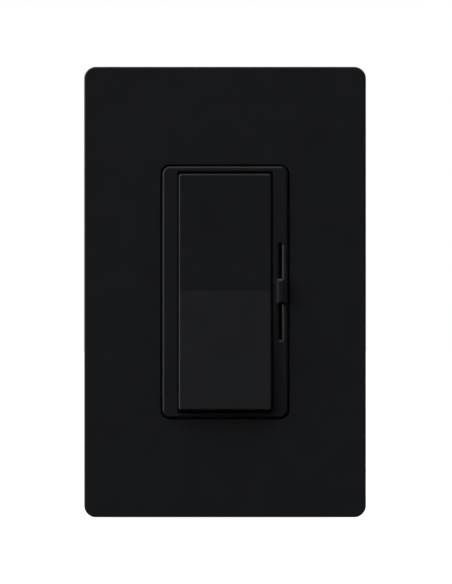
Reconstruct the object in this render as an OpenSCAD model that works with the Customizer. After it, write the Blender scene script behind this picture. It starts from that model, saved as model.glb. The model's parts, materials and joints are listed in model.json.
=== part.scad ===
// Wall dimmer with a large paddle and a slide control, for one gang of a wall box.
// X runs to the right, Z runs up and -Y points out of the wall. The wall plane is y = 0, and the
// origin lies midway between the two box screws. The paddle is drawn with its top pressed in.

/* [Wall plate] */
// Width of the wall plate cover
plate_w = 74.7; // [73:0.1:80]
// Height of the wall plate cover
plate_h = 119.4; // [118:0.1:125]
// How far the cover stands out from the wall
plate_depth = 7.6; // [7.4:0.1:8]
// Radius of the cover's corners, seen from the front
plate_corner = 3.1; // [2.6:0.1:4]
// Rounding of the cover's front edge
plate_edge = 0.4; // [0.4:0.1:1.5]
// Wall thickness of the cover
plate_wall = 1.8; // [1.6:0.1:2]

/* [Face frame] */
// Width of the raised face frame
bezel_w = 33.3; // [33:0.1:33.4]
// Height of the raised face frame
bezel_h = 66.7; // [66.4:0.1:67]
// How far the face frame stands out from the wall
bezel_depth = 8.6; // [8.4:0.1:9]
// Radius of the face frame's corners
bezel_corner = 2.1; // [1.5:0.1:2.5]
// Gap between the face frame and the cover all round
bezel_gap = 0.3; // [0.3:0.05:0.6]

/* [Paddle] */
// Width of the paddle
paddle_w = 24.7; // [24:0.1:24.8]
// Height of the paddle
paddle_h = 62.8; // [62.3:0.1:62.8]
// How much longer the paddle's lower half is than its upper half
paddle_offset = 0.6; // [0.3:0.1:0.6]
// Distance from the pivot forward to the crease across the face
paddle_reach = 6; // [5.8:0.1:6.2]
// Whole angle that the paddle rocks through
paddle_throw = 5; // [4:0.5:5]
// Distance from the wall plane forward to the paddle's pivot
pivot_depth = 3.2; // [3:0.1:3.3]

/* [Slider] */
// Length of the slot that the knob slides in
slot_len = 25.2; // [25:0.1:26]
// Width of the slot
slot_w = 0.5; // [0.45:0.05:0.7]
// Rounding of the edge round the slot
slot_edge = 0.75; // [0.5:0.05:0.75]
// Distance from the middle of the face frame to the middle of the slot
slot_x = 14.7; // [14.65:0.05:14.8]
// Height at which the knob rests, measured from the middle
knob_z = 0.25; // [-8:0.05:8]
// Length of the knob
knob_len = 6.8; // [5.5:0.1:7]

/* [Mounting] */
// Distance between the two box screws
box_pitch = 83.34; // [83:0.01:84]
// Distance between the two adapter plate screws
adapter_pitch = 96.8; // [96:0.1:97.5]
// Height of the yoke
yoke_h = 105.6; // [104:0.1:107]
// Thickness of the yoke
yoke_t = 1.6; // [1.5:0.1:1.6]

/* [Housing] */
// Width of the rear housing
housing_w = 42.8; // [42.8:0.1:44]
// Height of the rear housing
housing_h = 67; // [67:0.1:68]
// How far the housing reaches back from the yoke
housing_depth = 27; // [27:0.5:32]
// Wall thickness of the housing
housing_wall = 1.6; // [1.5:0.1:1.6]

/* [Hidden] */
$fn = 64;
slop = 0.05;
eps = 0.01;

// Colours
black_plastic = [0.07, 0.07, 0.075];
dark_plastic = [0.12, 0.12, 0.13];
aluminium = [0.75, 0.76, 0.78];
steel = [0.62, 0.63, 0.65];
brass = [0.78, 0.62, 0.3];
copper = [0.72, 0.42, 0.24];
silver = [0.85, 0.85, 0.84];
phenolic = [0.35, 0.22, 0.14];

// Cover and adapter plate
opening_w = bezel_w + 2 * bezel_gap;
opening_h = bezel_h + 2 * bezel_gap;
opening_corner = bezel_corner + bezel_gap;
lip_w = 1.4;
lip_depth = 3.2;
lip_edge = 0.35;
adapter_t = 2;
adapter_front = -yoke_t - adapter_t;
adapter_gap = 0.25;
adapter_w = plate_w - 2 * plate_wall - 2 * adapter_gap;
adapter_h = plate_h - 2 * plate_wall - 2 * adapter_gap;
catch_grip = 0.35;
score_x = 11.6;

// Face frame and paddle
bezel_edge = 0.6;
bezel_front = -bezel_depth;
bezel_floor = 1.2;
well_w = paddle_w + 0.6;
well_h = paddle_h + 1.3;
stem_window = [19, 12];
pin_r = 0.8;
pin_end = 11.7;
lug_x = [6, 8.4];
boss_x = [9.4, well_w / 2];
half_throw = paddle_throw / 2;
upper_half = (paddle_h - paddle_offset) / 2;
paddle_wall = 1.3;
paddle_face = 1.6;
paddle_block = 5;
paddle_corner = 0.6;
paddle_edge = 0.5;
skirt_back = -2.8;
stem_r = 3;
stem_bore_r = 1.75;
stem_back = 5.5;
stem_front = -3.4;
plunger_r = 1.7;
plunger_front = 1.8;
tip_r = 1.2;
tip_reach = 12.5;

// Switch under the paddle, measured from the rocker's own pivot
rocker_tilt = paddle_throw;
rocker_face = 1.3;
rocker_t = 0.8;
rocker_half = 10;
rocker_w = 5;
rocker_y = tip_reach - pivot_depth + rocker_face + tip_r + 0.03;
contact_z = 8.5;
contact_r = 1.4;
contact_t = 0.8;
contact_gap = 0.02;
cradle_x = [3, 3.8];
base_w = 17.2;
base_h = 28.8;
base_wall = 1.2;
base_back = 18.5;
base_floor = 1.5;

// Slider and potentiometer
slot_corner = 0.2;
knob_x = [13.65, 16.5];
knob_round = 0.9;
knob_back = bezel_front - 0.08;
knob_front = bezel_front - 1.8;
knob_blade = [0.3, 3.4];
blade_end = -5.2;
lever = [1.6, 6];
lever_front = -6.6;
slot_pocket = [2.5, 31];
pocket_x = 14.65;
track_floor = 5.6;
pot_w = 6.8;
pot_len = 36;
carriage_len = 8;

// Circuit board and what stands on it
board_front = 6.8;
board_back = 8.4;
board_w = housing_w - 2 * housing_wall - 1;
board_h = housing_h - 2 * housing_wall - 1.2;
choke_at = [2.5, 23];
choke_r = 5.2;
choke_section = 3.2;
turn_r = 2.65;
turn_wire_r = 0.35;
turns = 18;
triac_x = -4;
triac_top = 31;

// Screws
box_head_r = 3.3;
stud_r = 1.75;
post_at = [housing_w / 2 - 3.8, housing_h / 2 - 3.8];
post_r = 2.6;
stake_at = [14.6, 25];
terminal_y = 16.5;
terminal_z = 20;
terminal_window = 8.4;
leaf_t = 1;
leaf_x = housing_w / 2 - housing_wall - 0.1;
// Each terminal's side and height: two travellers on the right, the common on the left
travellers = [[1, 1], [1, -1]];
common = [-1, -1];
terminals = concat(travellers, [common]);

// --- Shapes ---------------------------------------------------------------------------------

// The range from half a length below c to half a length above it
function span(c, length) = [c - length / 2, c + length / 2];

// The range [a, b] on the positive side, or its mirror image on the negative side
function on_side(s, range) = s > 0 ? range : [-range[1], -range[0]];

// A block given by its range along each axis
module block(x, y, z) {
  translate([x[0], y[0], z[0]]) cube([x[1] - x[0], y[1] - y[0], z[1] - z[0]]);
}

// A front view (x, z) carried back from depth y0 to depth y1
module slab(y0, y1) {
  translate([0, y1, 0]) rotate([90, 0, 0]) linear_extrude(y1 - y0) children();
}

// A round bar along Y
module bar_y(r, y0, y1, x = 0, z = 0) {
  translate([x, y1, z]) rotate([90, 0, 0]) cylinder(r = r, h = y1 - y0);
}

// A round bar along X
module bar_x(r, x0, x1, y = 0, z = 0) {
  translate([x0, y, z]) rotate([0, 90, 0]) cylinder(r = r, h = x1 - x0);
}

// A rectangle with round corners
module rounded_rect(w, h, r) {
  square([w - 2 * r, h], center = true);
  square([w, h - 2 * r], center = true);
  for (x = [-1, 1], y = [-1, 1])
    translate([x * (w / 2 - r), y * (h / 2 - r)]) circle(r);
}

// Sweeps a profile (distance outside the outline, height) round a rounded rectangle
module around(w, h, r) {
  for (k = [0 : 3]) {
    side = k % 2 == 0 ? [w, h] : [h, w];
    rotate([0, 0, 90 * k]) {
      translate([side[0] / 2, side[1] / 2 - r, 0]) rotate([90, 0, 0])
        linear_extrude(side[1] - 2 * r) children();
      translate([side[0] / 2 - r, side[1] / 2 - r, 0])
        rotate_extrude(angle = 90) translate([r, 0]) children();
    }
  }
}

// A slab of height t whose corners are rounded by r, and its top edge by e, which is less than r
module cushion(w, h, r, t, e) {
  linear_extrude(t) square([w - 2 * r, h - 2 * r], center = true);
  around(w, h, r) translate([-r, 0]) {
    square([r, t - e]);
    square([r - e, t]);
    translate([r - e, t - e]) intersection() {
      circle(e);
      square(e);
    }
  }
}

// A screw along Y whose head faces -Y, with a straight slot across the head
module slotted_screw(head_r, head_y, shank_r, shank_y) {
  difference() {
    union() {
      bar_y(head_r, head_y[0], head_y[1]);
      bar_y(shank_r, head_y[1] - eps, shank_y);
    }
    block([-head_r - 1, head_r + 1], [head_y[0] - 1, head_y[0] + 0.7], [-0.4, 0.4]);
  }
}

// --- Wall plate -----------------------------------------------------------------------------

module wall_plate_cover() {
  color(black_plastic) {
    difference() {
      rotate([90, 0, 0]) cushion(plate_w, plate_h, plate_corner, plate_depth, plate_edge);
      slab(-plate_depth + plate_wall, 1)
        rounded_rect(plate_w - 2 * plate_wall, plate_h - 2 * plate_wall, plate_corner - 1.8);
      slab(-plate_depth - 1, 1)
        rounded_rect(opening_w + 2 * lip_w, opening_h + 2 * lip_w, opening_corner + lip_w);
    }
    rotate([90, 0, 0]) around(opening_w, opening_h, opening_corner)
      translate([0, plate_depth - lip_depth]) {
        square([lip_w, lip_depth - lip_edge]);
        translate([lip_edge, 0]) square([lip_w - lip_edge, lip_depth]);
        translate([lip_edge, lip_depth - lip_edge]) circle(lip_edge);
      }
    for (s = [-1, 1], x = [-18, 18]) cover_catch(x, s);
  }
}

// A ridge inside the top or bottom wall of the cover, which hooks behind the adapter plate
module cover_catch(x, s) {
  inner = plate_h / 2 - plate_wall;
  block([x - 4, x + 4], [-yoke_t + 0.1, -0.5],
        on_side(s, [inner - adapter_gap - catch_grip, inner + 0.3]));
}

module adapter_plate() {
  color(dark_plastic) difference() {
    union() {
      slab(adapter_front, -yoke_t) rounded_rect(adapter_w, adapter_h, 1.2);
      for (s = [-1, 1]) block([s * 30 - 0.6, s * 30 + 0.6], [-yoke_t - eps, -0.1], [-48, 48]);
    }
    slab(adapter_front - 1, 0)
      rounded_rect(bezel_w + 0.6, bezel_h + 0.6, bezel_corner + 0.2);
    for (s = [-1, 1]) {
      bar_y(box_head_r + 0.4, adapter_front - 1, 0, z = s * box_pitch / 2);
      bar_y(1.85, adapter_front - 1, 0, z = s * adapter_pitch / 2);
    }
  }
}

module adapter_screws() {
  color(steel) for (s = [-1, 1])
    translate([0, 0, s * adapter_pitch / 2])
      slotted_screw(2.9, [adapter_front - 1.6, adapter_front], 1.6, 4);
}

// --- Yoke -----------------------------------------------------------------------------------

module yoke() {
  color(aluminium) {
    difference() {
      slab(-yoke_t, 0) {
        rounded_rect(44.4, 74, 2);
        rounded_rect(22, yoke_h, 3);
        for (s = [-1, 1]) translate([0, s * (yoke_h / 2 - 4.8)]) rounded_rect(38, 9.6, 3);
      }
      slab(-yoke_t - 1, 1) {
        square(stem_window, center = true);
        translate([slot_x, 0]) square([2.4, slot_len + 3.6], center = true);
        for (s = [-1, 1]) translate([0, s * box_pitch / 2]) {
          square([2.8, 4.1], center = true);
          for (x = [-1.4, 1.4]) translate([x, 0]) circle(2.05);
        }
      }
      for (s = [-1, 1]) bar_y(1.65, -yoke_t - 1, 1, z = s * adapter_pitch / 2);
      for (x = [-1, 1], z = [-1, 1]) {
        bar_y(1.3, -yoke_t - 1, 1, x * post_at[0], z * post_at[1]);
        bar_y(1.05, -yoke_t - 1, 1, x * stake_at[0], z * stake_at[1]);
      }
      bar_y(1.5, -yoke_t - 1, 1, triac_x, triac_top - 3);
      for (x = [-1, 1], s = [-1, 1], y = [-yoke_t, 0])
        block(span(x * score_x, 0.5), span(y, 0.8), on_side(s, [42, 54]));
    }
    difference() {
      block([-21, -12], [-yoke_t, 9], [-37, -35.4]);
      translate([-16.5, 5, -38]) cylinder(r = 1.8, h = 4);
    }
  }
}

module box_screws() {
  color(steel) for (s = [-1, 1]) translate([0, 0, s * box_pitch / 2]) {
    slotted_screw(box_head_r, [-yoke_t - 1.9, -yoke_t], 1.4, 0.45);
    bar_y(stud_r, 0.45, 22);
  }
}

module screw_retainers() {
  color([0.8, 0.76, 0.66]) for (s = [-1, 1]) translate([0, 0, s * box_pitch / 2])
    difference() {
      slab(0, 0.35) rounded_rect(9, 9, 1.5);
      bar_y(1.45, -1, 1);
    }
}

// --- Face frame and paddle ------------------------------------------------------------------

module face_frame() {
  color(black_plastic) {
    difference() {
      union() {
        frame_shell();
        for (s = [-1, 1])
          block(on_side(s, [boss_x[0], boss_x[1] + 0.3]), [-pivot_depth - 2, -yoke_t],
                [-2.4, 2.4]);
      }
      bar_x(pin_r + eps, -pin_end - 0.1, pin_end + 0.1, -pivot_depth);
    }
    for (x = [-1, 1], z = [-1, 1]) {
      bar_y(1, -yoke_t - eps, 0.8, x * stake_at[0], z * stake_at[1]);
      bar_y(1.8, slop, 0.8, x * stake_at[0], z * stake_at[1]);
    }
  }
}

// The frame with its well for the paddle, the slot for the knob and a pocket behind each side
module frame_shell() {
  difference() {
    translate([0, -yoke_t, 0]) rotate([90, 0, 0])
      cushion(bezel_w, bezel_h, bezel_corner, bezel_depth - yoke_t, bezel_edge);
    slab(bezel_front - 1, -yoke_t - bezel_floor) rounded_rect(well_w, well_h, 0.6);
    slab(bezel_front - 1, 0) square(stem_window, center = true);
    slider_slot();
    for (s = [-1, 1]) slab(bezel_front + 1.6, 0)
      translate([s * pocket_x, 0]) square(slot_pocket, center = true);
  }
}

// The slot for the knob, with its edge rounded all round
module slider_slot() {
  translate([slot_x, 0, 0]) {
    slab(bezel_front - 1, bezel_front + 2) rounded_rect(slot_w, slot_len, slot_corner);
    rotate([90, 0, 0]) around(slot_w, slot_len, slot_corner)
      translate([0, bezel_depth - slot_edge]) difference() {
        translate([-eps, 0]) square([slot_edge + eps, slot_edge + 1]);
        translate([slot_edge, 0]) circle(slot_edge);
      }
  }
}

module pivot_pins() {
  color(steel) for (s = [-1, 1]) {
    x = on_side(s, [5.8, pin_end]);
    bar_x(pin_r, x[0], x[1], -pivot_depth);
  }
}

// Places the paddle's own frame, with its origin on the pivot, at its resting angle
module paddle_pose() {
  translate([0, -pivot_depth, 0]) rotate([-half_throw, 0, 0]) children();
}

// Carries a side view (y, z) across the width w
module across(w) {
  translate([-w / 2, 0, 0]) rotate([90, 0, 90]) linear_extrude(w) children();
}

// One half of the paddle's block, drawn as the upper one: a tilted slab whose length from the
// crease is half, cut off at the crease and along the skirt
module paddle_half(half) {
  intersection() {
    translate([0, -paddle_reach, 0]) rotate([half_throw, 0, 0])
      translate([0, paddle_block, 0]) rotate([90, 0, 0])
        cushion(paddle_w, 2 * half, paddle_corner, paddle_block, paddle_edge);
    block([-paddle_w, paddle_w], [-2 * paddle_reach, skirt_back], [0, paddle_h]);
  }
}

// The hollow behind one half of the paddle's face
module paddle_hollow() {
  top = upper_half - paddle_wall;
  face = -paddle_reach + paddle_face;
  across(paddle_w - 2 * paddle_wall)
    polygon([[skirt_back + 1, -1], [face, -1], [face, 0], [face - top * tan(half_throw), top],
             [skirt_back + 1, top]]);
}

module paddle() {
  color(black_plastic) paddle_pose() difference() {
    union() {
      difference() {
        union() {
          paddle_half(upper_half);
          mirror([0, 0, 1]) paddle_half(upper_half + paddle_offset);
        }
        paddle_hollow();
        mirror([0, 0, 1]) paddle_hollow();
      }
      bar_y(stem_r, stem_front - 1.4, stem_back);
      for (s = [-1, 1]) {
        x = on_side(s, lug_x);
        block(x, [-paddle_reach + 1.2, 0], [-2, 2]);
        bar_x(2, x[0], x[1]);
        block([-8, 8], [-paddle_reach - 0.4, -1.1], span(s * 29, 1.6));
      }
    }
    bar_y(stem_bore_r, stem_front, stem_back + 1);
    bar_x(pin_r + slop, lug_x[0] - 1, lug_x[1] + 1);
    bar_x(pin_r + slop, -lug_x[1] - 1, -lug_x[0] + 1);
  }
}

module plunger() {
  color([0.86, 0.84, 0.78]) paddle_pose() {
    bar_y(plunger_r, plunger_front, 7.5);
    bar_y(tip_r, 7.4, tip_reach);
    translate([0, tip_reach, 0]) sphere(tip_r);
  }
}

// A round wire swept along points, with flat ends
module wire(points, r, sides = 6) {
  n = len(points);
  function heading(i) = let (d = points[min(i + 1, n - 1)] - points[max(i - 1, 0)]) d / norm(d);
  rings = [for (i = [0 : n - 1]) let (h = heading(i), u = cross(h, [0, 1, 0]), a = u / norm(u),
    b = cross(h, a)) for (k = [0 : sides - 1]) let (t = 360 * k / sides)
    points[i] + r * (cos(t) * a + sin(t) * b)];
  skin = [for (i = [0 : n - 2], k = [0 : sides - 1]) let (a = i * sides, m = (k + 1) % sides)
    [a + k, a + m, a + sides + m, a + sides + k]];
  first = [for (k = [sides - 1 : -1 : 0]) k];
  last = [for (k = [0 : sides - 1]) (n - 1) * sides + k];
  polyhedron(rings, concat(skin, [first], [last]));
}

module plunger_spring() {
  coils = 5;
  steps = 14;
  from = stem_front + 0.3;
  length = plunger_front - stem_front - 0.6;
  color(steel) paddle_pose()
    wire([for (i = [0 : coils * steps]) let (t = i / steps)
      [1.3 * cos(360 * t), from + length * t / coils, 1.3 * sin(360 * t)]], 0.2);
}

// --- Switch ---------------------------------------------------------------------------------

// Places the rocker's own frame, tilted towards the lower (s = -1) or upper (s = 1) contact
module rocker_pose(s) {
  translate([0, rocker_y, 0]) rotate([-s * rocker_tilt, 0, 0]) children();
}

module contact_rocker() {
  color(copper) rocker_pose(-1) {
    difference() {
      slab(-rocker_face, -rocker_face + rocker_t) rounded_rect(rocker_w, 2 * rocker_half, 1.5);
      for (s = [-1, 1]) bar_y(0.5, -2, 0, z = s * contact_z);
    }
    bar_x(0.8, -4.4, 4.4);
  }
}

module moving_contacts() {
  back = -rocker_face + rocker_t;
  color(silver) rocker_pose(-1) for (s = [-1, 1]) {
    bar_y(contact_r, back, back + contact_t, z = s * contact_z);
    bar_y(0.49, -rocker_face, back + eps, z = s * contact_z);
  }
}

module fixed_contacts() {
  front = -rocker_face + rocker_t + contact_t + contact_gap;
  color(silver) for (s = [-1, 1]) rocker_pose(s)
    bar_y(contact_r, front, front + contact_t, z = s * contact_z);
}

// Strip that carries one fixed contact and passes back through the floor of the switch base
module contact_strip(s) {
  front = -rocker_face + rocker_t + 2 * contact_t + contact_gap;
  rocker_pose(s) block([-2.2, 2.2], [front, front + 0.6], on_side(s, [6.8, 12.6]));
  block([-1.5, 1.5], [rocker_y + 1.8, base_back + 1.4], on_side(s, [11.4, 12]));
}

module contact_strip_upper() {
  color(brass) contact_strip(1);
}

module contact_strip_lower() {
  color(brass) contact_strip(-1);
}

module contact_cradle() {
  floor_y = base_back - base_floor;
  color(brass) {
    block([-cradle_x[1], cradle_x[1]], [floor_y - 0.8, floor_y], [-2.4, 2.4]);
    block([-1.5, 1.5], [floor_y - eps, base_back + 1.4], [-0.4, 0.4]);
    difference() {
      for (s = [-1, 1]) {
        x = on_side(s, cradle_x);
        block(x, [rocker_y, floor_y], [-2.2, 2.2]);
        bar_x(2.2, x[0], x[1], rocker_y);
      }
      bar_x(0.8 + slop, -6, 6, rocker_y);
    }
  }
}

module switch_base() {
  ledge = -rocker_face + rocker_t + 2 * contact_t + contact_gap + 0.6 + eps;
  color(phenolic) difference() {
    union() {
      difference() {
        slab(0, base_back) rounded_rect(base_w, base_h, 1);
        slab(-1, base_back - base_floor)
          square([base_w - 2 * base_wall, base_h - 2 * base_wall], center = true);
      }
      intersection() {
        for (s = [-1, 1]) rocker_pose(s) block([-8, 8], [ledge, 9], on_side(s, [7, 14]));
        slab(0, base_back) square([base_w - 1, base_h - 1], center = true);
      }
    }
    block([-1.6, 1.6], [base_back - base_floor - 1, base_back + 1], [-0.5, 0.5]);
    for (s = [-1, 1])
      block([-1.6, 1.6], [rocker_y, base_back + 1], on_side(s, [11.3, 12.1]));
  }
}

// --- Slider ---------------------------------------------------------------------------------

module slider_knob() {
  color(black_plastic) {
    intersection() {
      translate([0, 0, knob_z - knob_len / 2]) linear_extrude(knob_len)
        polygon([[knob_x[0], knob_back], [knob_x[0], knob_front + 0.7],
                 [knob_x[0] + 0.65, knob_front], [knob_x[0] + 1.5, knob_front],
                 [knob_x[1] - 0.2, knob_front + 0.42], [knob_x[1], knob_front + 0.7],
                 [knob_x[1], knob_back]]);
      translate([knob_x[0] - 1, 0, knob_z]) rotate([90, 0, 90]) linear_extrude(5) knob_side();
    }
    translate([slot_x, 0, knob_z])
      block(span(0, knob_blade[0]), [knob_back - eps, blade_end], span(0, knob_blade[1]));
  }
}

// The knob from the side, as (y, z), with its two outer corners well rounded
module knob_side() {
  translate([knob_front + knob_round, -knob_len / 2]) square([3, knob_len]);
  translate([knob_front, -knob_len / 2 + knob_round]) square([3, knob_len - 2 * knob_round]);
  for (s = [-1, 1]) translate([knob_front + knob_round, s * (knob_len / 2 - knob_round)])
    circle(knob_round);
}

module slider_carriage() {
  color([0.9, 0.9, 0.88]) translate([slot_x, 0, knob_z]) {
    difference() {
      block(span(0, lever[0]), [lever_front, 2], span(0, lever[1]));
      block(span(0, knob_blade[0] + slop), [lever_front - 1, blade_end + slop],
            span(0, knob_blade[1] + slop));
    }
    block([-2.4, 2.4], [1.5, 4.4], span(0, carriage_len));
  }
}

module slider_wiper() {
  color(brass) translate([slot_x, 0, knob_z]) {
    block([-1.6, 1.6], [4.4, 4.65], [-3, 3]);
    for (z = [-2, 2]) translate([0, 0, z]) bar_x(0.35, -1.2, 1.2, track_floor - 0.65);
  }
}

module potentiometer_body() {
  color(dark_plastic) translate([slot_x, 0, 0]) difference() {
    block(span(0, pot_w), [0.6, board_front], span(0, pot_len));
    block([-2.6, 2.6], [1.2, track_floor], span(0, pot_len - 3));
    block([-1.1, 1.1], [0, 2], span(0, pot_len - 3));
  }
}

module potentiometer_track() {
  color([0.16, 0.15, 0.15]) translate([slot_x, 0, 0])
    block([-2.2, 2.2], [track_floor - 0.25, track_floor], span(0, pot_len - 4));
}

// --- Circuit board and components -----------------------------------------------------------

module circuit_board() {
  color([0.12, 0.33, 0.2]) difference() {
    slab(board_front, board_back) rounded_rect(board_w, board_h, 1);
    slab(0, board_back + 1) square([base_w + 0.6, base_h + 0.6], center = true);
    for (x = [-1, 1], z = [-1, 1])
      bar_y(post_r + 0.25, 0, board_back + 1, x * post_at[0], z * post_at[1]);
  }
}

module triac() {
  color([0.1, 0.1, 0.1]) difference() {
    union() {
      block(span(triac_x, 10), [0.2, 1.5], [triac_top - 15, triac_top]);
      block(span(triac_x, 10), [0.2, 4.6], [triac_top - 15, triac_top - 6.2]);
      for (x = [-2.5, 0, 2.5]) {
        block(span(triac_x + x, 0.8), [2.4, 3], [triac_top - 16.2, triac_top - 14.9]);
        block(span(triac_x + x, 0.8), [2.4, board_front], [triac_top - 16.2, triac_top - 15.6]);
      }
    }
    bar_y(1.8, 0, 2, triac_x, triac_top - 3);
  }
}

module triac_pad() {
  color([0.7, 0.72, 0.76]) difference() {
    block(span(triac_x, 11.6), [0, 0.2], [triac_top - 15.8, triac_top + 0.6]);
    bar_y(1.8, -1, 1, triac_x, triac_top - 3);
  }
}

module triac_screw() {
  color(steel) translate([triac_x, 0, triac_top - 3]) rotate([0, 0, 180])
    slotted_screw(2.6, [-3.4, -1.5], 1.45, yoke_t - 0.1);
}

module choke_core() {
  color([0.3, 0.3, 0.32]) choke_pose() rotate_extrude()
    translate([choke_r, 0]) square(choke_section, center = true);
}

// Places the choke's ring flat behind the board
module choke_pose() {
  translate([choke_at[0], board_back + turn_r + turn_wire_r + 0.1, choke_at[1]])
    rotate([90, 0, 0]) children();
}

module choke_winding() {
  color(copper) choke_pose() for (k = [0 : turns - 1])
    rotate([0, 0, 360 * (k + 0.5) / turns]) translate([choke_r, 0, 0]) rotate([90, 0, 0])
      rotate_extrude() translate([turn_r, 0]) circle(turn_wire_r);
}

module film_capacitor() {
  color([0.75, 0.6, 0.15])
    translate([-14.2, board_back, 1]) rotate([-90, 0, 0]) cushion(8, 24, 1.4, 12, 0.7);
}

module timing_capacitor() {
  color([0.2, 0.35, 0.6])
    translate([-3, board_back, -24.5]) rotate([-90, 0, 0]) cushion(11, 6, 1.2, 9, 0.6);
}

// A component with two leads that bend back to the board
module axial_part(r, length, x, z) {
  y = board_back + r + 0.4;
  wire_r = 0.3;
  bar_x(r, x - length / 2, x + length / 2, y, z);
  for (s = [-1, 1]) {
    end = x + s * (length / 2 + 1.4);
    bar_x(wire_r, min(x, end), max(x, end), y, z);
    bar_y(wire_r, board_back, y + wire_r, end, z);
  }
}

module diac() {
  color([0.55, 0.3, 0.2]) axial_part(0.9, 4, 8.5, -28);
}

module resistors() {
  color([0.72, 0.6, 0.45]) for (z = [-17.5, -20.8, -24.1]) axial_part(1.1, 6.2, 8.5, z);
}

// --- Housing and terminals ------------------------------------------------------------------

module rear_housing() {
  inner_back = housing_depth - housing_wall;
  color(dark_plastic) difference() {
    union() {
      difference() {
        rotate([-90, 0, 0]) cushion(housing_w, housing_h, 2.5, housing_depth, 1);
        slab(-1, inner_back)
          rounded_rect(housing_w - 2 * housing_wall, housing_h - 2 * housing_wall, 0.9);
      }
      for (x = [-1, 1], z = [-1, 1]) {
        bar_y(post_r, 0, inner_back + 0.4, x * post_at[0], z * post_at[1]);
        bar_y(post_r + 0.7, board_back, inner_back + 0.4, x * post_at[0], z * post_at[1]);
      }
      for (z = [-7, 7]) block([-6, 6], [base_back, inner_back + 0.4], [z - 0.7, z + 0.7]);
    }
    for (x = [-1, 1], z = [-1, 1]) {
      bar_y(1.35, -1, housing_depth + 1, x * post_at[0], z * post_at[1]);
      bar_y(2.4, housing_depth - 1.8, housing_depth + 1, x * post_at[0], z * post_at[1]);
    }
    for (t = terminals) terminal_pose(t)
      block([leaf_x - 1, leaf_x + 4], span(0, terminal_window),
            span(0, terminal_window));
    back_relief();
  }
}

// Shallow marks moulded into the back: a blank panel, and two grooves that gauge a stripped wire
module back_relief() {
  slab(housing_depth - 0.4, housing_depth + 1) translate([0, 5]) rounded_rect(24, 26, 1);
  slab(housing_depth - 0.6, housing_depth + 1) for (x = [-1, 1])
    translate([x * 5.5, -23]) rounded_rect(2.4, 16, 0.8);
}

// Places a terminal's own frame, in which +X points out of the housing
module terminal_pose(t) {
  translate([0, terminal_y, t[1] * terminal_z]) rotate([0, 0, t[0] > 0 ? 0 : 180]) children();
}

module housing_screws() {
  color(steel) for (x = [-1, 1], z = [-1, 1]) translate([x * post_at[0], 0, z * post_at[1]])
    rotate([0, 0, 180])
      slotted_screw(2.2, [-housing_depth + 0.3, -housing_depth + 1.8], 1.25, yoke_t - 0.1);
}

module terminal_plates() {
  color(brass) for (t = terminals) terminal_pose(t) difference() {
    union() {
      block([leaf_x - leaf_t, leaf_x], [-5.5, 5.5], [-5.2, 5.2]);
      terminal_leg(t[0]);
    }
    bar_x(1.65, leaf_x - 2, leaf_x + 1);
  }
}

// The leg that joins a terminal's leaf to the board, in front of the leaf on either side
module terminal_leg(side) {
  reach = terminal_y - board_back;
  block([leaf_x - leaf_t, leaf_x], on_side(-side, [0, reach]), [-2, 2]);
}

// A screw whose head faces out of the housing, in a terminal's own frame
module terminal_screw() {
  rotate([0, 0, 90]) slotted_screw(3.4, [-leaf_x - 2.5, -leaf_x - 0.2], 1.6, -leaf_x + 6);
}

module traveller_screws() {
  color(brass) for (t = travellers) terminal_pose(t) terminal_screw();
}

module common_screw() {
  color([0.2, 0.2, 0.21]) terminal_pose(common) terminal_screw();
}

module ground_screw() {
  color([0.1, 0.5, 0.22]) translate([-16.5, 5, 0]) rotate([90, 0, 0]) rotate([0, 180, 0])
    slotted_screw(3.4, [-39.4, -37.1], 1.75, -33.8);
}

// --- Assembly -------------------------------------------------------------------------------

wall_plate_cover();
adapter_plate();
adapter_screws();
yoke();
box_screws();
screw_retainers();
face_frame();
pivot_pins();
paddle();
plunger();
plunger_spring();
contact_rocker();
moving_contacts();
contact_cradle();
contact_strip_upper();
contact_strip_lower();
fixed_contacts();
switch_base();
slider_knob();
slider_carriage();
slider_wiper();
potentiometer_body();
potentiometer_track();
circuit_board();
triac();
triac_pad();
triac_screw();
choke_core();
choke_winding();
film_capacitor();
timing_capacitor();
diac();
resistors();
rear_housing();
housing_screws();
terminal_plates();
traveller_screws();
common_screw();
ground_screw();
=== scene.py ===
import json
import math

import bmesh
import bpy
from mathutils import Matrix, Vector


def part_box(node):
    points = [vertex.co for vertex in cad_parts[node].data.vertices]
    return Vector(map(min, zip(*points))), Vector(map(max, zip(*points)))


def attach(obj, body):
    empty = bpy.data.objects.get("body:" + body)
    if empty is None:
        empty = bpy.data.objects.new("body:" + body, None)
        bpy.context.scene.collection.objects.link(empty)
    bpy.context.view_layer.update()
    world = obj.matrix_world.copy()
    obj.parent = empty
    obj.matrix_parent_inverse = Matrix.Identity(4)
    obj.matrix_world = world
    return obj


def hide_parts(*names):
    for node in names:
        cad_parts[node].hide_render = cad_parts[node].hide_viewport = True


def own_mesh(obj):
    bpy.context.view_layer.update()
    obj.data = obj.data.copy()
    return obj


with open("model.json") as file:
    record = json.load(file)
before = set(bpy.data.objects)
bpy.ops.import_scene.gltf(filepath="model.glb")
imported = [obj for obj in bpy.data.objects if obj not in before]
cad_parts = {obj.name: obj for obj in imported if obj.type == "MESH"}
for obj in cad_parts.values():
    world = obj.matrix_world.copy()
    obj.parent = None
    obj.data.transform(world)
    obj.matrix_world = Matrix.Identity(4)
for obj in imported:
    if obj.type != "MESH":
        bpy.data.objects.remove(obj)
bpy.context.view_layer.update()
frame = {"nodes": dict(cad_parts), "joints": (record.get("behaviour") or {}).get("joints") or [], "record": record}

MM = 0.001
WELD_DISTANCE = 1e-6             # points closer than this, in metres, become one
SHARP_ANGLE = math.radians(35)   # an edge is sharp where its faces turn by more than this

nodes = frame["nodes"]
slot_of = {part["node"]: part["material_slot"] for part in frame["record"]["subparts"]}
scene = bpy.context.scene


# --- Node helpers ---------------------------------------------------------------------------

MATERIALS = {}    # by name, filled by Tree.done(). The record's slots have the same names


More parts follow.
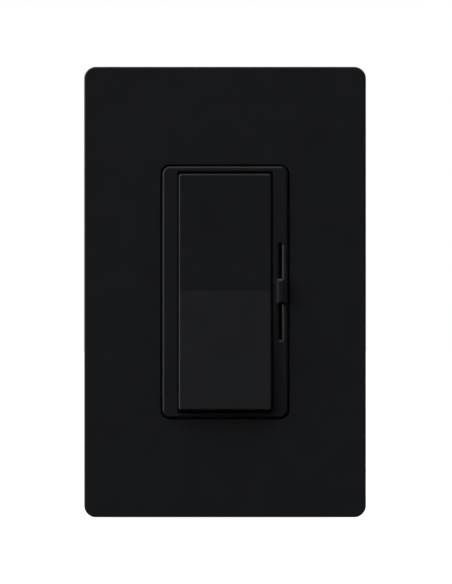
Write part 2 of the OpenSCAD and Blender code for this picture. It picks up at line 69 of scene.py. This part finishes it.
class Tree:
    """One material's node tree, with short calls for the nodes that the materials share."""

    def __init__(self, name):
        self.name = name
        self.material = bpy.data.materials.new(name)
        self.material.use_nodes = True
        self.tree = self.material.node_tree
        self.tree.nodes.clear()
        self.shader = self.add("ShaderNodeBsdfPrincipled")
        output = self.add("ShaderNodeOutputMaterial")
        self.link(self.shader.outputs["BSDF"], output.inputs["Surface"])
        self.place = self.add("ShaderNodeTexCoord").outputs["Object"]
        self.normal = None

    def add(self, kind, **settings):
        """A new node, with its settings."""
        node = self.tree.nodes.new(kind)
        for key, value in settings.items():
            setattr(node, key, value)
        return node

    def link(self, output, socket):
        """Joins a node's output to an input socket."""
        self.tree.links.new(output, socket)

    def mapping(self, scale):
        """Object coordinates in millimetres, times scale along each axis."""
        node = self.add("ShaderNodeMapping")
        node.inputs["Scale"].default_value = [s / MM for s in scale]
        self.link(self.place, node.inputs["Vector"])
        return node.outputs["Vector"]

    def noise(self, size, detail, roughness=0.55, squeeze=(1, 1, 1)):
        """Noise with blotches about size millimetres across, divided by squeeze on each axis."""
        node = self.add("ShaderNodeTexNoise")
        node.inputs["Scale"].default_value = 1.0
        node.inputs["Detail"].default_value = detail
        node.inputs["Roughness"].default_value = roughness
        self.link(self.mapping([s / size for s in squeeze]), node.inputs["Vector"])
        return node.outputs["Fac"]

    def cells(self, size, feature):
        """Distance to the middle of the nearest cell (F1) or the next one (F2). The cells have
        straight sides and are about size millimetres across."""
        node = self.add("ShaderNodeTexVoronoi", feature=feature, distance="CHEBYCHEV")
        node.inputs["Scale"].default_value = 1.0
        self.link(self.mapping([1 / size] * 3), node.inputs["Vector"])
        return node.outputs["Distance"]

    def spread(self, value, low, high, source=(0.3, 0.7)):
        """Maps the source range, which is a noise's middle if not given, onto low to high."""
        node = self.add("ShaderNodeMapRange")
        node.inputs["From Min"].default_value = source[0]
        node.inputs["From Max"].default_value = source[1]
        node.inputs["To Min"].default_value = low
        node.inputs["To Max"].default_value = high
        self.link(value, node.inputs["Value"])
        return node.outputs["Result"]

    def math(self, operation, a, b):
        """Arithmetic on a and b, which are numbers or sockets."""
        node = self.add("ShaderNodeMath", operation=operation)
        for socket, value in zip(node.inputs, (a, b)):
            if isinstance(value, (int, float)):
                socket.default_value = value
            else:
                self.link(value, socket)
        return node.outputs["Value"]

    def mix(self, factor, a, b):
        """A colour between a and b, which are colours or colour sockets."""
        node = self.add("ShaderNodeMix", data_type="RGBA")
        self.link(factor, node.inputs["Factor"])
        for socket, value in ((node.inputs[6], a), (node.inputs[7], b)):
            if isinstance(value, (tuple, list)):
                socket.default_value = (*value[:3], 1.0)
            else:
                self.link(value, socket)
        return node.outputs[2]

    def steps(self, value, stops):
        """Plain bands of colour from (position, colour) stops."""
        node = self.add("ShaderNodeValToRGB")
        ramp = node.color_ramp
        ramp.interpolation = "CONSTANT"
        for element, (at, colour) in zip(ramp.elements, (stops[0], stops[-1])):
            element.position = at
            element.color = (*colour, 1.0)
        for at, colour in stops[1:-1]:
            ramp.elements.new(at).color = (*colour, 1.0)
        self.link(value, node.inputs["Fac"])
        return node.outputs["Color"]

    def bump(self, height, depth):
        """Adds a bump layer whose full height is depth millimetres."""
        node = self.add("ShaderNodeBump")
        node.inputs["Strength"].default_value = 1.0
        node.inputs["Distance"].default_value = depth * MM
        self.link(height, node.inputs["Height"])
        if self.normal is not None:
            self.link(self.normal, node.inputs["Normal"])
        self.normal = node.outputs["Normal"]

    def set(self, **values):
        """Sets the shader's own sockets: numbers and colours directly, textures by a link."""
        for key, value in values.items():
            socket = self.shader.inputs[key.replace("_", " ")]
            if isinstance(value, bpy.types.NodeSocket):
                self.link(value, socket)
            elif isinstance(value, (tuple, list)):
                socket.default_value = (*value[:3], 1.0)
            else:
                socket.default_value = value

    def done(self):
        """Links the bump layers, if there are any, and keeps the material in MATERIALS."""
        if self.normal is not None:
            self.link(self.normal, self.shader.inputs["Normal"])
        MATERIALS[self.name] = self.material


def shade(colour, factor):
    """The colour made darker, or lighter if factor is over 1."""
    return tuple(min(1.0, c * factor) for c in colour)


# --- Materials ------------------------------------------------------------------------------

def moulded(name, colour, rough, grain=0.35, grain_depth=0.002):
    """Moulded plastic: a fine mould grain over a slow ripple, with slightly uneven gloss."""
    t = Tree(name)
    cloud = t.spread(t.noise(size=14.0, detail=3.0), 0.0, 1.0)
    t.set(Base_Color=t.mix(cloud, shade(colour, 0.9), shade(colour, 1.1)))
    fine = t.noise(size=grain, detail=2.0)
    ripple = t.noise(size=6.0, detail=2.0)
    sheen = t.math("ADD", t.spread(fine, -0.03, 0.03), t.spread(ripple, -0.02, 0.02))
    t.set(Roughness=t.math("ADD", sheen, rough), IOR=1.5)
    t.bump(ripple, depth=0.003)
    t.bump(fine, depth=grain_depth)
    t.done()


def metal(name, colour, rough, streak=0.4, squeeze=(1, 1, 1), depth=0.0006):
    """Drawn or stamped metal: fine scratches, which squeeze turns into streaks, and stains."""
    t = Tree(name)
    scratches = t.noise(size=streak, detail=6.0, roughness=0.6, squeeze=squeeze)
    stain = t.spread(t.noise(size=5.0, detail=4.0), 0.0, 0.15)
    t.set(Base_Color=t.mix(stain, colour, shade(colour, 0.55)))
    t.set(Metallic=1.0, Roughness=t.math("ADD", t.spread(scratches, -0.08, 0.12), rough))
    t.bump(scratches, depth)
    t.done()


def speckled(name, colour, spot, size, rough):
    """A filled or fibrous body: specks of a second colour and a rough surface."""
    t = Tree(name)
    specks = t.noise(size, detail=6.0, roughness=0.7)
    t.set(Base_Color=t.mix(t.spread(specks, 0.0, 0.5, source=(0.4, 0.65)), colour, spot))
    t.set(Roughness=t.spread(specks, rough - 0.08, rough + 0.08), IOR=1.5)
    t.bump(specks, depth=0.01)
    t.done()


def laminate(name, over_gaps, over_copper, cloth):
    """A circuit board: solder mask over copper areas, which lie higher than the gaps between
    them, with the cloth in the board showing faintly through it."""
    t = Tree(name)
    from_edge = t.math("SUBTRACT", t.cells(4.5, "F2"), t.cells(4.5, "F1"))
    copper = t.spread(from_edge, 0.0, 1.0, source=(0.05, 0.08))
    weave = t.noise(size=0.5, detail=3.0)
    mask = t.mix(copper, over_gaps, over_copper)
    t.set(Base_Color=t.mix(t.spread(weave, 0.0, 0.25), mask, cloth))
    t.set(Roughness=t.spread(weave, 0.28, 0.4), IOR=1.5, Coat_Weight=0.3)
    t.bump(copper, depth=0.035)
    t.done()


def banded(name, node, body, band, rough, ends, rings):
    """A part with a lead at each end and rings of a second colour round its body. Ends says
    where the body starts and stops, and rings gives each ring's start and width, all as shares
    of the CAD node's length."""
    stops = [(0.0, TINNED), (ends[0], body)]
    for start, width in rings:
        stops += [(start, band), (start + width, body)]
    stops += [(ends[1], TINNED), (1.0, TINNED)]
    low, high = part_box(node)
    t = Tree(name)
    axes = t.add("ShaderNodeSeparateXYZ")
    t.link(t.place, axes.inputs["Vector"])
    share = t.spread(axes.outputs["X"], 0.0, 1.0, source=(low.x, high.x))
    grime = t.spread(t.noise(size=0.8, detail=3.0), 0.0, 0.3)
    t.set(Base_Color=t.mix(grime, t.steps(share, stops), shade(body, 0.7)))
    smear = t.noise(size=1.6, detail=3.0)
    t.set(Roughness=t.spread(smear, rough - 0.05, rough + 0.08), IOR=1.5)
    t.bump(t.noise(size=0.8, detail=2.0), depth=0.01)
    t.done()


BLACK = (0.0108, 0.0120, 0.0152)
SOOT = (0.012, 0.012, 0.0125)
TINNED = (0.55, 0.55, 0.57)

for name in ("cover_plastic", "frame_plastic", "paddle_plastic", "knob_plastic"):
    moulded(name, BLACK, 0.42)
moulded("adapter_plastic", SOOT, 0.55, grain=0.3, grain_depth=0.006)
moulded("housing_plastic", SOOT, 0.48, grain=0.25, grain_depth=0.01)
moulded("pot_plastic", (0.02, 0.02, 0.021), 0.5)
moulded("acetal", (0.62, 0.60, 0.54), 0.4)
moulded("capacitor_yellow", (0.55, 0.30, 0.03), 0.35)
moulded("capacitor_blue", (0.03, 0.10, 0.32), 0.3)

metal("yoke_metal", (0.66, 0.67, 0.69), 0.34, squeeze=(4, 4, 0.15), depth=0.002)
metal("pin_steel", (0.60, 0.60, 0.61), 0.2, squeeze=(0.2, 4, 4))
metal("spring_steel", (0.48, 0.48, 0.50), 0.3)
metal("brass_strip", (0.72, 0.50, 0.19), 0.28, streak=0.25, squeeze=(4, 4, 0.2))
metal("copper_alloy", (0.70, 0.36, 0.20), 0.3, squeeze=(4, 4, 0.2))
metal("contact_silver", (0.80, 0.79, 0.76), 0.32, streak=0.1, depth=0.0002)
metal("winding_copper", (0.62, 0.20, 0.07), 0.25, streak=1.5)
metal("zinc_screw", (0.62, 0.62, 0.60), 0.3, streak=0.2)
metal("brass_screw", (0.76, 0.55, 0.22), 0.26, streak=0.2)
metal("dark_screw", (0.06, 0.06, 0.065), 0.35, streak=0.2)
metal("green_screw", (0.03, 0.30, 0.09), 0.3, streak=0.2)

speckled("retainer_fibre", (0.62, 0.52, 0.34), (0.40, 0.31, 0.18), size=0.8, rough=0.8)
speckled("base_phenolic", (0.10, 0.045, 0.02), (0.16, 0.08, 0.04), size=1.2, rough=0.45)
speckled("carbon_track", (0.015, 0.014, 0.013), (0.04, 0.04, 0.04), size=0.2, rough=0.6)
speckled("epoxy_black", (0.012, 0.012, 0.012), (0.03, 0.03, 0.03), size=0.15, rough=0.6)
speckled("thermal_pad", (0.30, 0.33, 0.38), (0.42, 0.45, 0.50), size=0.3, rough=0.7)
speckled("ferrite", (0.03, 0.03, 0.032), (0.08, 0.08, 0.085), size=0.2, rough=0.55)

laminate("board_laminate", over_gaps=(0.008, 0.060, 0.024), over_copper=(0.016, 0.125, 0.044),
         cloth=(0.02, 0.05, 0.03))
banded("diac_glass", "diac", body=(0.35, 0.10, 0.04), band=(0.01, 0.01, 0.01), rough=0.15,
       ends=(0.23, 0.77), rings=[(0.62, 0.08)])
banded("resistor_body", "resistors", body=(0.42, 0.28, 0.15), band=(0.18, 0.03, 0.02), rough=0.4,
       ends=(0.18, 0.82), rings=[(0.26, 0.05), (0.38, 0.05), (0.50, 0.05), (0.68, 0.05)])

for name, node in nodes.items():
    node.data.materials.clear()
    node.data.materials.append(MATERIALS[slot_of[name]])


# --- Pieces that stand for CAD nodes --------------------------------------------------------

def add_piece(name, mesh, body, node):
    """A new piece that rides on a body and stands for a CAD node, with that node's finish."""
    slot = slot_of[node]
    piece = bpy.data.objects.new(name, mesh)
    scene.collection.objects.link(piece)
    mesh.materials.clear()
    mesh.materials.append(MATERIALS[slot])
    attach(piece, body)
    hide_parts(node)
    return piece


# --- Screws with real heads and threads -----------------------------------------------------

SEGMENTS = 32                    # sides of a screw
ROWS = 4                         # rows of points in each turn of a thread
THREAD_DEPTH = 0.5               # as a share of the pitch
CROWN_RINGS = (0.3, 0.6, 0.85)   # shares of the head's radius where its crown has a ring
HEAD_EDGE = 0.12 * MM            # how wide the head's edges are broken
TIP_LENGTH = 0.4 * MM
TIP_SHARE = 0.7                  # the tip's radius, as a share of the thread's root
FIRST_TURN = 25                  # where the first screw of a group stopped, in degrees
NEXT_TURN = 70                   # how much further round each of the others is

# Each cut's length and width, as shares of the head's radius, its depth, and its turn in degrees
SLOT = (2.4, 0.28, 0.7 * MM, 0)
CROSS = [(1.15, 0.26, 1.1 * MM, turn) for turn in (0, 90)]
DRIVES = {"slot": [SLOT], "cross": CROSS, "both": [SLOT, *CROSS]}

# Head radius, head height, crown, shank radius, plain neck and thread pitch in millimetres,
# then the kind of drive and the way that the head faces
SCREWS = {
    "box_screws": (3.3, 1.9, 0.9, 1.75, 2.05, 0.8, "slot", (0, -1, 0)),
    "adapter_screws": (2.9, 1.6, 0.8, 1.6, 0.3, 0.8, "slot", (0, -1, 0)),
    "housing_screws": (2.2, 1.5, 0.6, 1.25, 15.0, 0.9, "cross", (0, 1, 0)),
    "triac_screw": (2.6, 1.9, 0.6, 1.45, 0.3, 0.7, "slot", (0, 1, 0)),
    "traveller_screws": (3.4, 2.3, 0.5, 1.6, 0.3, 0.8, "both", (1, 0, 0)),
    "common_screw": (3.4, 2.3, 0.5, 1.6, 0.3, 0.8, "both", (-1, 0, 0)),
    "ground_screw": (3.4, 2.3, 0.5, 1.75, 0.3, 0.8, "both", (0, 0, -1)),
}


def solids(node):
    """The lowest and highest corners of each separate solid in a CAD node."""
    bm = bmesh.new()
    bm.from_mesh(nodes[node].data)
    bmesh.ops.remove_doubles(bm, verts=bm.verts, dist=WELD_DISTANCE)
    left = set(bm.verts)
    found = []
    while left:
        frontier = [left.pop()]
        reached = list(frontier)
        while frontier:
            for edge in frontier.pop().link_edges:
                fresh = [vert for vert in edge.verts if vert in left]
                left.difference_update(fresh)
                frontier += fresh
                reached += fresh
        found.append([Vector([pick(vert.co[axis] for vert in reached) for axis in range(3)])
                      for pick in (min, max)])
    bm.free()
    return sorted(found, key=lambda box: tuple(box[0]))


def ring(bm, radius, z):
    """A ring of points round the Z axis."""
    turn = 2 * math.pi / SEGMENTS
    return [bm.verts.new((radius * math.cos(k * turn), radius * math.sin(k * turn), z))
            for k in range(SEGMENTS)]


def bridge(bm, upper, lower):
    """A band of faces between two rings."""
    for k in range(SEGMENTS):
        m = (k + 1) % SEGMENTS
        bm.faces.new((upper[k], lower[k], lower[m], upper[m]))


def cap(bm, loop, z):
    """Closes a ring with a fan round a point at z, facing up if z is the higher, else down."""
    centre = bm.verts.new((0, 0, z))
    for k in range(SEGMENTS):
        pair = [loop[k], loop[(k + 1) % SEGMENTS]]
        bm.faces.new((centre, *(pair if loop[0].co.z <= z else reversed(pair))))


def thread(bm, radius, pitch, top, bottom):
    """A helical thread down the Z axis, which fades out at both ends. A row goes once round
    and ends one pitch lower, so its last point is next to the first point ROWS rows on. Two
    rows of each turn are the crest, and the others are the root."""
    depth = THREAD_DEPTH * pitch
    count = ROWS * (int((top - bottom) / pitch) + 3)
    rows = []
    for i in range(count + ROWS):
        loop = []
        for k in range(SEGMENTS):
            z = top + pitch * (1 - i / ROWS - k / SEGMENTS)
            z = max(bottom, min(top, z))
            fade = min(1.0, (top - z) / pitch, (z - bottom) / pitch)
            r = radius - depth + depth * (fade if i % ROWS in (1, 2) else 0.0)
            angle = 2 * math.pi * k / SEGMENTS
            loop.append(bm.verts.new((r * math.cos(angle), r * math.sin(angle), z)))
        rows.append(loop)
    for i in range(count - 1):
        for k in range(SEGMENTS - 1):
            bm.faces.new((rows[i][k], rows[i + 1][k], rows[i + 1][k + 1], rows[i][k + 1]))
        bm.faces.new((rows[i][-1], rows[i + 1][-1], rows[i + 1 + ROWS][0], rows[i + ROWS][0]))


def screw_blank(head_r, head_h, crown, shank_r, neck, pitch, length):
    """A screw along Z without its drive, with the underside of its head at z = 0 and its head
    above that."""
    root = shank_r - THREAD_DEPTH * pitch
    side = head_h - crown
    bm = bmesh.new()
    loops = [ring(bm, share * head_r, head_h - crown * share ** 2) for share in CROWN_RINGS]
    loops += [ring(bm, head_r - HEAD_EDGE, side), ring(bm, head_r, side - HEAD_EDGE)]
    loops += [ring(bm, head_r, HEAD_EDGE), ring(bm, head_r - HEAD_EDGE, 0)]
    loops += [ring(bm, root, 0), ring(bm, root, -neck)]
    for upper, lower in zip(loops, loops[1:]):
        bridge(bm, upper, lower)
    cap(bm, loops[0], head_h)
    thread(bm, shank_r, pitch, -neck, TIP_LENGTH - length)
    shoulder = ring(bm, root, TIP_LENGTH - length)
    end = ring(bm, TIP_SHARE * root, -length)
    bridge(bm, shoulder, end)
    cap(bm, end, -length)
    # Where the thread fades out, its points lie close together, so only equal ones are joined
    bmesh.ops.remove_doubles(bm, verts=bm.verts, dist=0.1 * WELD_DISTANCE)
    mesh = bpy.data.meshes.new("screw")
    bm.to_mesh(mesh)
    bm.free()
    return mesh


def add_cutter(length, width, depth, turn, top):
    """A box that reaches depth below top."""
    bm = bmesh.new()
    bmesh.ops.create_cube(bm, size=1.0)
    mesh = bpy.data.meshes.new("cutter")
    bm.to_mesh(mesh)
    bm.free()
    cutter = bpy.data.objects.new("cutter", mesh)
    cutter.scale = (length, width, 2 * depth)
    cutter.location.z = top
    cutter.rotation_euler.z = math.radians(turn)
    scene.collection.objects.link(cutter)
    return cutter


def with_drive(mesh, shape, head_r, head_h):
    """The screw with its drive cut down into the top of its head."""
    piece = bpy.data.objects.new("blank", mesh)
    scene.collection.objects.link(piece)
    for length, width, depth, turn in DRIVES[shape]:
        cutter = add_cutter(length * head_r, width * head_r, depth, turn, head_h)
        cut = piece.modifiers.new("cut", "BOOLEAN")
        cut.operation = "DIFFERENCE"
        cut.object = cutter
        bpy.context.view_layer.update()
        graph = bpy.context.evaluated_depsgraph_get()
        piece.data = bpy.data.meshes.new_from_object(piece.evaluated_get(graph))
        piece.modifiers.clear()
        bpy.data.objects.remove(cutter)
    result = piece.data
    bpy.data.objects.remove(piece)
    result.shade_smooth()
    result.set_sharp_from_angle(angle=SHARP_ANGLE)
    return result


def add_screws(node, sizes, shape, facing):
    """A screw for each solid of a CAD node, in its place and of its length."""
    head_r, head_h, crown, shank_r, neck, pitch = [size * MM for size in sizes]
    facing = Vector(facing)
    boxes = solids(node)
    low, high = boxes[0]
    length = abs(facing.dot(high - low)) - head_h
    blank = screw_blank(head_r, head_h, crown, shank_r, neck, pitch, length)
    mesh = with_drive(blank, shape, head_r, head_h)
    aim = facing.to_track_quat("Z", "Y").to_matrix().to_4x4()
    for k, (low, high) in enumerate(boxes):
        piece = add_piece(f"{node}_{k + 1}", mesh, "chassis", node)
        top = (low + high) / 2 + facing * (length + head_h) / 2
        piece.location = top - facing * head_h
        turn = Matrix.Rotation(math.radians(FIRST_TURN + NEXT_TURN * k), 4, "Z")
        piece.rotation_euler = (aim @ turn).to_euler()


for node, (*sizes, shape, facing) in SCREWS.items():
    add_screws(node, sizes, shape, facing)


# --- Wound wire: the plunger's spring and the choke's winding --------------------------------

WIRE_SIDES = 10
WIRE_SHARP_ANGLE = math.radians(50)   # more than the 36 degrees between a wire's sides
STEPS = 28                            # points in each turn of a wound wire


def tube(points, radius, heights=None):
    """A round wire swept along points, and ground flat at the two heights if they are given."""
    bm = bmesh.new()
    side = (points[1] - points[0]).orthogonal().normalized()
    loops = []
    for i, point in enumerate(points):
        heading = (points[min(i + 1, len(points) - 1)] - points[max(i - 1, 0)]).normalized()
        side = (side - heading * side.dot(heading)).normalized()
        other = heading.cross(side)
        loop = []
        for k in range(WIRE_SIDES):
            angle = 2 * math.pi * k / WIRE_SIDES
            place = point + radius * (math.cos(angle) * side + math.sin(angle) * other)
            if heights:
                place.z = max(heights[0], min(heights[1], place.z))
            loop.append(bm.verts.new(place))
        loops.append(loop)
    for a, b in zip(loops, loops[1:]):
        for k in range(WIRE_SIDES):
            m = (k + 1) % WIRE_SIDES
            bm.faces.new((a[k], a[m], b[m], b[k]))
    bm.faces.new(reversed(loops[0]))
    bm.faces.new(loops[-1])
    mesh = bpy.data.meshes.new("wire")
    bm.to_mesh(mesh)
    bm.free()
    mesh.shade_smooth()
    mesh.set_sharp_from_angle(angle=WIRE_SHARP_ANGLE)
    return mesh


def add_spring():
    """A compression spring with closed, ground ends."""
    joint = next(j for j in frame["joints"] if j["name"] == "plunger_slide")
    axis = -Vector(joint["axis"]).normalized()
    along = [axis.dot(vert.co) for vert in nodes["plunger_spring"].data.vertices]
    length = max(along) - min(along)
    low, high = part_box("plunger_spring")
    middle = (low + high) / 2
    seat = middle + axis * (min(along) - middle.dot(axis))
    wire_r = 0.2 * MM
    coil_r = (high.x - low.x) / 2 - wire_r
    live = 6      # turns that stand apart
    closed = 1    # turns at each end that lie against the next one
    points = []
    for i in range((live + 2 * closed) * STEPS + 1):
        turn = i / STEPS
        risen = max(0.0, min(1.0, (turn - closed) / live))
        flat_turns = min(turn, closed) + max(0.0, turn - closed - live)
        height = wire_r * flat_turns + (length - 2 * closed * wire_r) * risen
        angle = 2 * math.pi * turn
        points.append(Vector((coil_r * math.cos(angle), coil_r * math.sin(angle), height)))
    wire = tube(points, wire_r, (0.0, length))
    piece = add_piece("plunger_coil_spring", wire, "paddle_body", "plunger_spring")
    piece.location = seat
    piece.rotation_euler = axis.to_track_quat("Z", "Y").to_euler()
    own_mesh(piece)


def add_winding():
    """One continuous wire wound round the choke's square ring, with a lead down at each end."""
    low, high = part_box("choke_core")
    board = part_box("circuit_board")[1].y
    centre = (low + high) / 2
    section = high.y - low.y
    ring_r = (high.x - low.x - section) / 2
    wire_r = 0.35 * MM
    gap = 0.05 * MM
    half = section / 2 + wire_r + gap
    turns = 24.5
    cover = math.radians(330)
    squareness = 8    # of each turn: 2 makes it round, and more makes its corners tighter

    def place(turn):
        around = cover * (turn / turns - 0.5) + math.pi
        angle = 2 * math.pi * turn
        across, up = math.cos(angle), math.sin(angle)
        reach = half / (abs(across) ** squareness + abs(up) ** squareness) ** (1 / squareness)
        outward = Vector((math.cos(around), 0, math.sin(around)))
        return centre + outward * (ring_r + reach * across) + Vector((0, reach * up, 0))

    points = [place(i / STEPS) for i in range(int(turns * STEPS) + 1)]
    leads = [Vector((end.x, board, end.z)) for end in (points[0], points[-1])]
    wire = tube([leads[0], *points, leads[1]], wire_r)
    add_piece("choke_wire", wire, "chassis", "choke_winding")


add_spring()
add_winding()


# --- Broken edges on the moulded and stamped parts -------------------------------------------

FLAT_ANGLE = math.radians(0.5)   # faces that meet at less than this are one flat face

# How wide each CAD part's sharp edges are broken, in millimetres
BROKEN_EDGES = {
    "slider_knob": 0.12, "yoke": 0.15, "adapter_plate": 0.2, "rear_housing": 0.15,
    "terminal_plates": 0.12, "screw_retainers": 0.05, "switch_base": 0.15,
    "contact_strip_upper": 0.06, "contact_strip_lower": 0.06, "contact_cradle": 0.06,
    "contact_rocker": 0.05, "slider_carriage": 0.1, "slider_wiper": 0.03,
    "potentiometer_body": 0.15, "potentiometer_track": 0.03, "circuit_board": 0.06,
    "triac": 0.08, "triac_pad": 0.05, "plunger": 0.1,
}


def weld(node):
    """Makes one point of those that lie in the same place."""
    node.modifiers.new("weld", "WELD").merge_threshold = WELD_DISTANCE


def break_edges(node, width):
    """Bevels a CAD node's sharp edges with modifiers, which leave its own mesh as it is."""
    weld(node)
    flat = node.modifiers.new("flat", "DECIMATE")
    flat.decimate_type = "DISSOLVE"
    flat.angle_limit = FLAT_ANGLE
    edge = node.modifiers.new("edge", "BEVEL")
    edge.width = width
    edge.segments = 2
    edge.limit_method = "ANGLE"
    edge.angle_limit = SHARP_ANGLE
    edge.harden_normals = True
    weld(node)


for name, width in BROKEN_EDGES.items():
    break_edges(nodes[name], width * MM)


# --- Camera, lights and floor ---------------------------------------------------------------

VIEW_HEIGHT = 154.8 * MM     # what the picture shows at the plate's face, from top to bottom
CAMERA_SIDE = 0.25 * MM      # how far right of the object's middle the camera stands
LENS = 500.0
SENSOR = 36.0
GLOW = (0.004, 0.6)          # strength in front of the object and behind it
GLOW_FADE = (0.0, 0.6)       # the Y parts of a direction between which it changes
FLOOR_REACH = 6.0            # from the floor's middle to its sides

# Distant soft lights: degrees left of the camera, degrees up, degrees across, and strength
LIGHTS = {
    "key": (50, 50, 50, 0.36),
    "soft": (40, 25, 60, 0.38),
    "left": (60, 8, 40, 0.86),
    "top": (0, 35, 30, 0.06),
    "high": (0, 60, 40, 0.51),
    "right": (-60, 15, 60, 0.08),
    "rear left": (140, 30, 40, 1.5),
    "rear right": (-130, 40, 50, 1.5),
}


def add_camera(face):
    """A camera straight in front of the plate, whose face is at Y = face."""
    data = bpy.data.cameras.new("camera")
    data.lens = LENS
    data.sensor_width = SENSOR
    data.clip_end = 20.0
    camera = bpy.data.objects.new("camera", data)
    scene.collection.objects.link(camera)
    camera.location = (CAMERA_SIDE, face - VIEW_HEIGHT * LENS / SENSOR, 0.0)
    camera.rotation_euler = (math.radians(90), 0, 0)
    scene.camera = camera


def add_light(name, left, up, across, strength):
    """A distant light across degrees wide, left and up degrees away from the camera."""
    data = bpy.data.lights.new(name, "SUN")
    data.angle = math.radians(across)
    data.energy = strength
    light = bpy.data.objects.new(name, data)
    around, above = math.radians(left), math.radians(up)
    away = Vector((-math.sin(around) * math.cos(above), -math.cos(around) * math.cos(above),
                   math.sin(above)))
    light.location = away
    light.rotation_euler = away.to_track_quat("Z", "Y").to_euler()
    scene.collection.objects.link(light)


def add_world():
    """A white backdrop, and a glow on the object, dim in front and brighter behind."""
    world = bpy.data.worlds.new("studio")
    world.use_nodes = True
    scene.world = world
    tree = world.node_tree
    tree.nodes.clear()
    rays = tree.nodes.new("ShaderNodeLightPath")
    choose = tree.nodes.new("ShaderNodeMixShader")
    output = tree.nodes.new("ShaderNodeOutputWorld")
    backdrop = tree.nodes.new("ShaderNodeBackground")
    glow = tree.nodes.new("ShaderNodeBackground")
    direction = tree.nodes.new("ShaderNodeTexCoord")
    axes = tree.nodes.new("ShaderNodeSeparateXYZ")
    fade = tree.nodes.new("ShaderNodeMapRange")
    fade.interpolation_type = "SMOOTHSTEP"
    for socket, value in zip(("From Min", "From Max", "To Min", "To Max"), (*GLOW_FADE, *GLOW)):
        fade.inputs[socket].default_value = value
    for background in (backdrop, glow):
        background.inputs["Color"].default_value = (1, 1, 1, 1)
    tree.links.new(direction.outputs["Generated"], axes.inputs["Vector"])
    tree.links.new(axes.outputs["Y"], fade.inputs["Value"])
    tree.links.new(fade.outputs["Result"], glow.inputs["Strength"])
    tree.links.new(rays.outputs["Is Camera Ray"], choose.inputs["Fac"])
    tree.links.new(glow.outputs["Background"], choose.inputs[1])
    tree.links.new(backdrop.outputs["Background"], choose.inputs[2])
    tree.links.new(choose.outputs["Shader"], output.inputs["Surface"])


def add_floor(height):
    """A floor so pale that only a faint shadow shows on it, and which doesn't tint the object."""
    mesh = bpy.data.meshes.new("floor")
    bm = bmesh.new()
    bmesh.ops.create_grid(bm, x_segments=1, y_segments=1, size=FLOOR_REACH)
    bm.to_mesh(mesh)
    bm.free()
    floor = bpy.data.objects.new("floor", mesh)
    floor.location.z = height
    floor.visible_diffuse = False
    floor.visible_glossy = False
    scene.collection.objects.link(floor)
    paint = Tree("floor_paint")
    paint.set(Base_Color=(0.6, 0.6, 0.6), Roughness=0.9, Specular_IOR_Level=0.0,
              Emission_Color=(1, 1, 1), Emission_Strength=0.75)
    paint.done()
    mesh.materials.append(MATERIALS["floor_paint"])


plate_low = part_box("wall_plate_cover")[0]
add_camera(plate_low.y)
for name, settings in LIGHTS.items():
    add_light(name, *settings)
add_world()
add_floor(plate_low.z)
scene.view_settings.view_transform = "Standard"
